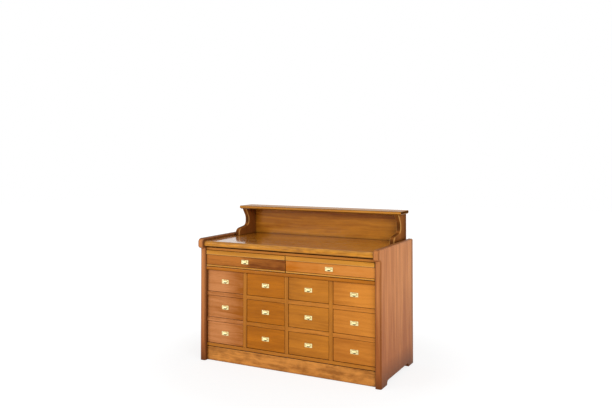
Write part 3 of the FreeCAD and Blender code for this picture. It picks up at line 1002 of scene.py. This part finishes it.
def cup_pull(sizes):
    """A pressed cup pull about the middle of its plate, whose back lies on y = 0."""
    plate = add_box((0, -sizes.plate / 2, 0), (sizes.plate_width, sizes.plate, sizes.plate_height))
    round_edges(plate, lambda a, b: abs(a.y - b.y) > sizes.plate / 2, sizes.plate_corner, 5)
    round_edges(plate, lambda a, b: max(a.y, b.y) < -0.9 * sizes.plate, PLATE_EASE * sizes.plate, 3)

    mouth = -sizes.hood_skirt
    combine(plate, trimmed_hood(sizes, 0, -sizes.plate / 2, mouth), "UNION")
    combine(plate, trimmed_hood(sizes, sizes.hood_wall, OVERRUN / 2, mouth - CLEAR), "DIFFERENCE")

    moon_radius = (sizes.moon_chord ** 2 / 4 + sizes.moon_sag ** 2) / (2 * sizes.moon_sag)
    deselect()
    bpy.ops.mesh.primitive_cylinder_add(
        vertices=96, radius=moon_radius, depth=4 * sizes.plate, rotation=(math.pi / 2, 0, 0),
        location=(0, 0, moon_radius + mouth - sizes.moon_sag))
    moon = settle()
    slice_off(moon, (0, 0, mouth + CLEAR / 2), (0, 0, 1))
    combine(plate, moon, "DIFFERENCE")
    edit_all(plate)
    bpy.ops.mesh.remove_doubles(threshold=0.005 * MM)
    leave_edit()
    smooth(plate, 30)
    return plate


def slotted_screw(sizes):
    """A round screw head standing on y = 0, with a straight slot."""
    radius = sizes.screw_radius
    deselect()
    bpy.ops.mesh.primitive_uv_sphere_add(segments=32, ring_count=16, radius=radius,
                                         scale=(1, SCREW_DOME, 1))
    head = settle()
    slice_off(head, (0, 0, 0), (0, 1, 0))
    blade = add_box((0, -SCREW_DOME * radius, 0),
                    (3 * radius, 2 * SLOT_DEPTH * radius, SLOT_WIDTH * radius))
    combine(head, blade, "DIFFERENCE")
    smooth(head, 30)
    return head


class CABINET_OT_cup_pulls(bpy.types.Operator):
    """Model one pressed cup pull and one screw, and seat a pull and two screws on each drawer"""

    bl_idname = "cabinet.cup_pulls"
    bl_label = "Cup pulls"

    def execute(self, context):
        tones = context.scene.cabinet_finishes
        sizes = context.scene.cabinet_pulls
        brass = polished_brass("polished_brass", tones.brass, tones.tarnish_and_shade, 0.36)
        screw_brass = polished_brass("brassed_steel", tones.screw, tones.tarnish_and_shade, 0.3)
        pattern = cup_pull(sizes)
        screw = slotted_screw(sizes)
        turns = random.Random(7)
        for name in DRAWERS:
            centre = Vector(pull_centre(name))
            pull = copied(pattern)
            take(pull)
            bpy.ops.transform.translate(value=centre)
            settle()
            seat(pull, name + "_cup_pull", name, "brass", brass, name + "_pull")
            for side, label in ((-1, "left"), (1, "right")):
                head = copied(screw)
                head.rotation_euler.y = turns.uniform(0, math.pi)
                head.location = centre + Vector((side * sizes.screw_reach, -sizes.plate, 0))
                take(head)
                settle()
                seat(head, f"{name}_screw_{label}", name, "brass", screw_brass)
        bpy.data.objects.remove(pattern)
        bpy.data.objects.remove(screw)
        return {"FINISHED"}


# ---- Studio ----

FLOOR_SIZE = 30
SHADE_REACH = (0.9, 1.8)    # how far out on the floor the shadow starts to fade, and is gone
SHADE_SHARE = 0.72          # how white the floor glows under the cabinet, against 1 further out


def seen_rays(tree):
    """1 for what the camera sees, straight on or in a gloss or a glass."""
    rays = add_node(tree, "ShaderNodeLightPath").outputs
    direct = add_node(tree, "ShaderNodeMath", {
        0: rays["Is Camera Ray"], 1: rays["Is Glossy Ray"],
    }, operation="MAXIMUM").outputs[0]
    return add_node(tree, "ShaderNodeMath", {
        0: direct, 1: rays["Is Transmission Ray"],
    }, operation="MAXIMUM").outputs[0]


def add_floor():
    """A pale matt floor that takes the shadow near the cabinet and glows white further out."""
    deselect()
    bpy.ops.mesh.primitive_plane_add(size=FLOOR_SIZE, location=(0, 0, 0))
    floor = bpy.context.object
    floor.name = "floor"
    material, tree = new_material("white_studio_floor")
    matt = add_node(tree, "ShaderNodeBsdfPrincipled", {
        "Base Color": linear("#F4F4F4"), "Roughness": 0.9, "Specular IOR Level": 0.1,
    })
    glow = add_node(tree, "ShaderNodeEmission", {"Color": linear("#FFFFFF"), "Strength": 1.1})
    here = add_node(tree, "ShaderNodeTexCoord").outputs["Object"]
    away = add_node(tree, "ShaderNodeVectorMath", {0: here}, operation="LENGTH").outputs["Value"]
    whiteness = add_node(tree, "ShaderNodeMapRange", {
        "Value": away, "From Min": SHADE_REACH[0], "From Max": SHADE_REACH[1],
        "To Min": SHADE_SHARE, "To Max": 1.0,
    }).outputs[0]
    share = add_node(tree, "ShaderNodeMath", {0: seen_rays(tree), 1: whiteness}, operation="MULTIPLY")
    both = add_node(tree, "ShaderNodeMixShader", {
        0: share.outputs[0], 1: matt.outputs[0], 2: glow.outputs[0],
    })
    add_node(tree, "ShaderNodeOutputMaterial", {"Surface": both.outputs[0]})
    floor.data.materials.append(material)


def add_surround(light):
    """A world that is plain white to look at and lights the cabinet evenly with its own strength."""
    world = bpy.data.worlds.new("white_surround")
    bpy.context.scene.world = world
    world.use_nodes = True
    tree = world.node_tree
    tree.nodes.clear()
    strength = add_node(tree, "ShaderNodeMapRange", {
        "Value": seen_rays(tree), "To Min": light, "To Max": 1.0,
    }).outputs[0]
    surround = add_node(tree, "ShaderNodeBackground", {"Color": linear("#FFFFFF"), "Strength": strength})
    add_node(tree, "ShaderNodeOutputWorld", {"Surface": surround.outputs[0]})


def add_lamp(name, power, place, aim, size):
    """A large soft lamp turned towards a point."""
    deselect()
    bpy.ops.object.light_add(type="AREA", location=place)
    lamp = bpy.context.object
    lamp.name = name
    lamp.data.shape = "RECTANGLE"
    lamp.data.size, lamp.data.size_y = size
    lamp.data.energy = power
    lamp.rotation_euler = (Vector(aim) - Vector(place)).to_track_quat("-Z", "Y").to_euler()


def add_camera(studio):
    """The camera, with its focal length and its axis given in pixels of its own frame."""
    deselect()
    bpy.ops.object.camera_add(location=studio.camera_place,
                              rotation=(math.pi / 2 + studio.camera_rise, 0, studio.camera_turn))
    camera = bpy.context.object
    camera.name = "camera"
    camera.data.sensor_width = SENSOR_WIDTH
    camera.data.lens = studio.focal_pixels / IMAGE_WIDTH * SENSOR_WIDTH
    camera.data.shift_y = (studio.level_line - IMAGE_HEIGHT / 2) / IMAGE_WIDTH
    camera.data.clip_end = 2 * FLOOR_SIZE
    bpy.context.scene.camera = camera


class CABINET_OT_studio(bpy.types.Operator):
    """Set up the pale floor, the white surround, the soft lamps and the camera"""

    bl_idname = "cabinet.studio"
    bl_label = "Studio"

    def execute(self, context):
        studio = context.scene.cabinet_studio
        add_floor()
        add_surround(studio.sky)
        add_lamp("key_lamp", studio.key, place=(3.4, -3.2, 2.6), aim=(0, 0, 0.5), size=(3.0, 2.0))
        add_lamp("fill_lamp", studio.fill, place=(-2.6, -3.6, 1.8), aim=(0, 0, 0.6), size=(2.0, 2.0))
        add_camera(studio)
        context.scene.view_settings.view_transform = "Standard"
        return {"FINISHED"}


class CABINET_PT_panel(bpy.types.Panel):
    """The cabinet's operators and settings"""

    bl_idname = "CABINET_PT_panel"
    bl_label = "Dry sink cabinet"
    bl_space_type = "VIEW_3D"
    bl_region_type = "UI"
    bl_category = "Cabinet"

    def draw(self, context):
        layout = self.layout
        for step in STEPS:
            layout.operator(step.bl_idname)
        scene = context.scene
        for group in (scene.cabinet_finishes, scene.cabinet_pulls, scene.cabinet_studio):
            box = layout.box()
            for name in group.__annotations__:
                box.prop(group, name)


STEPS = (
    CABINET_OT_side_boards,
    CABINET_OT_worktop,
    CABINET_OT_case_rails,
    CABINET_OT_inside,
    CABINET_OT_gallery,
    CABINET_OT_drawer_fronts,
    CABINET_OT_cup_pulls,
    CABINET_OT_studio,
)
CLASSES = (CabinetFinishes, PullSizes, StudioSettings, *STEPS, CABINET_PT_panel)


def register():
    for kind in CLASSES:
        bpy.utils.register_class(kind)
    bpy.types.Scene.cabinet_finishes = bpy.props.PointerProperty(type=CabinetFinishes)
    bpy.types.Scene.cabinet_pulls = bpy.props.PointerProperty(type=PullSizes)
    bpy.types.Scene.cabinet_studio = bpy.props.PointerProperty(type=StudioSettings)


def unregister():
    del bpy.types.Scene.cabinet_studio
    del bpy.types.Scene.cabinet_pulls
    del bpy.types.Scene.cabinet_finishes
    for kind in reversed(CLASSES):
        bpy.utils.unregister_class(kind)


def main():
    register()
    for step in STEPS:
        getattr(bpy.ops.cabinet, step.bl_idname.split(".")[1])()


if __name__ == "__main__":
    main()
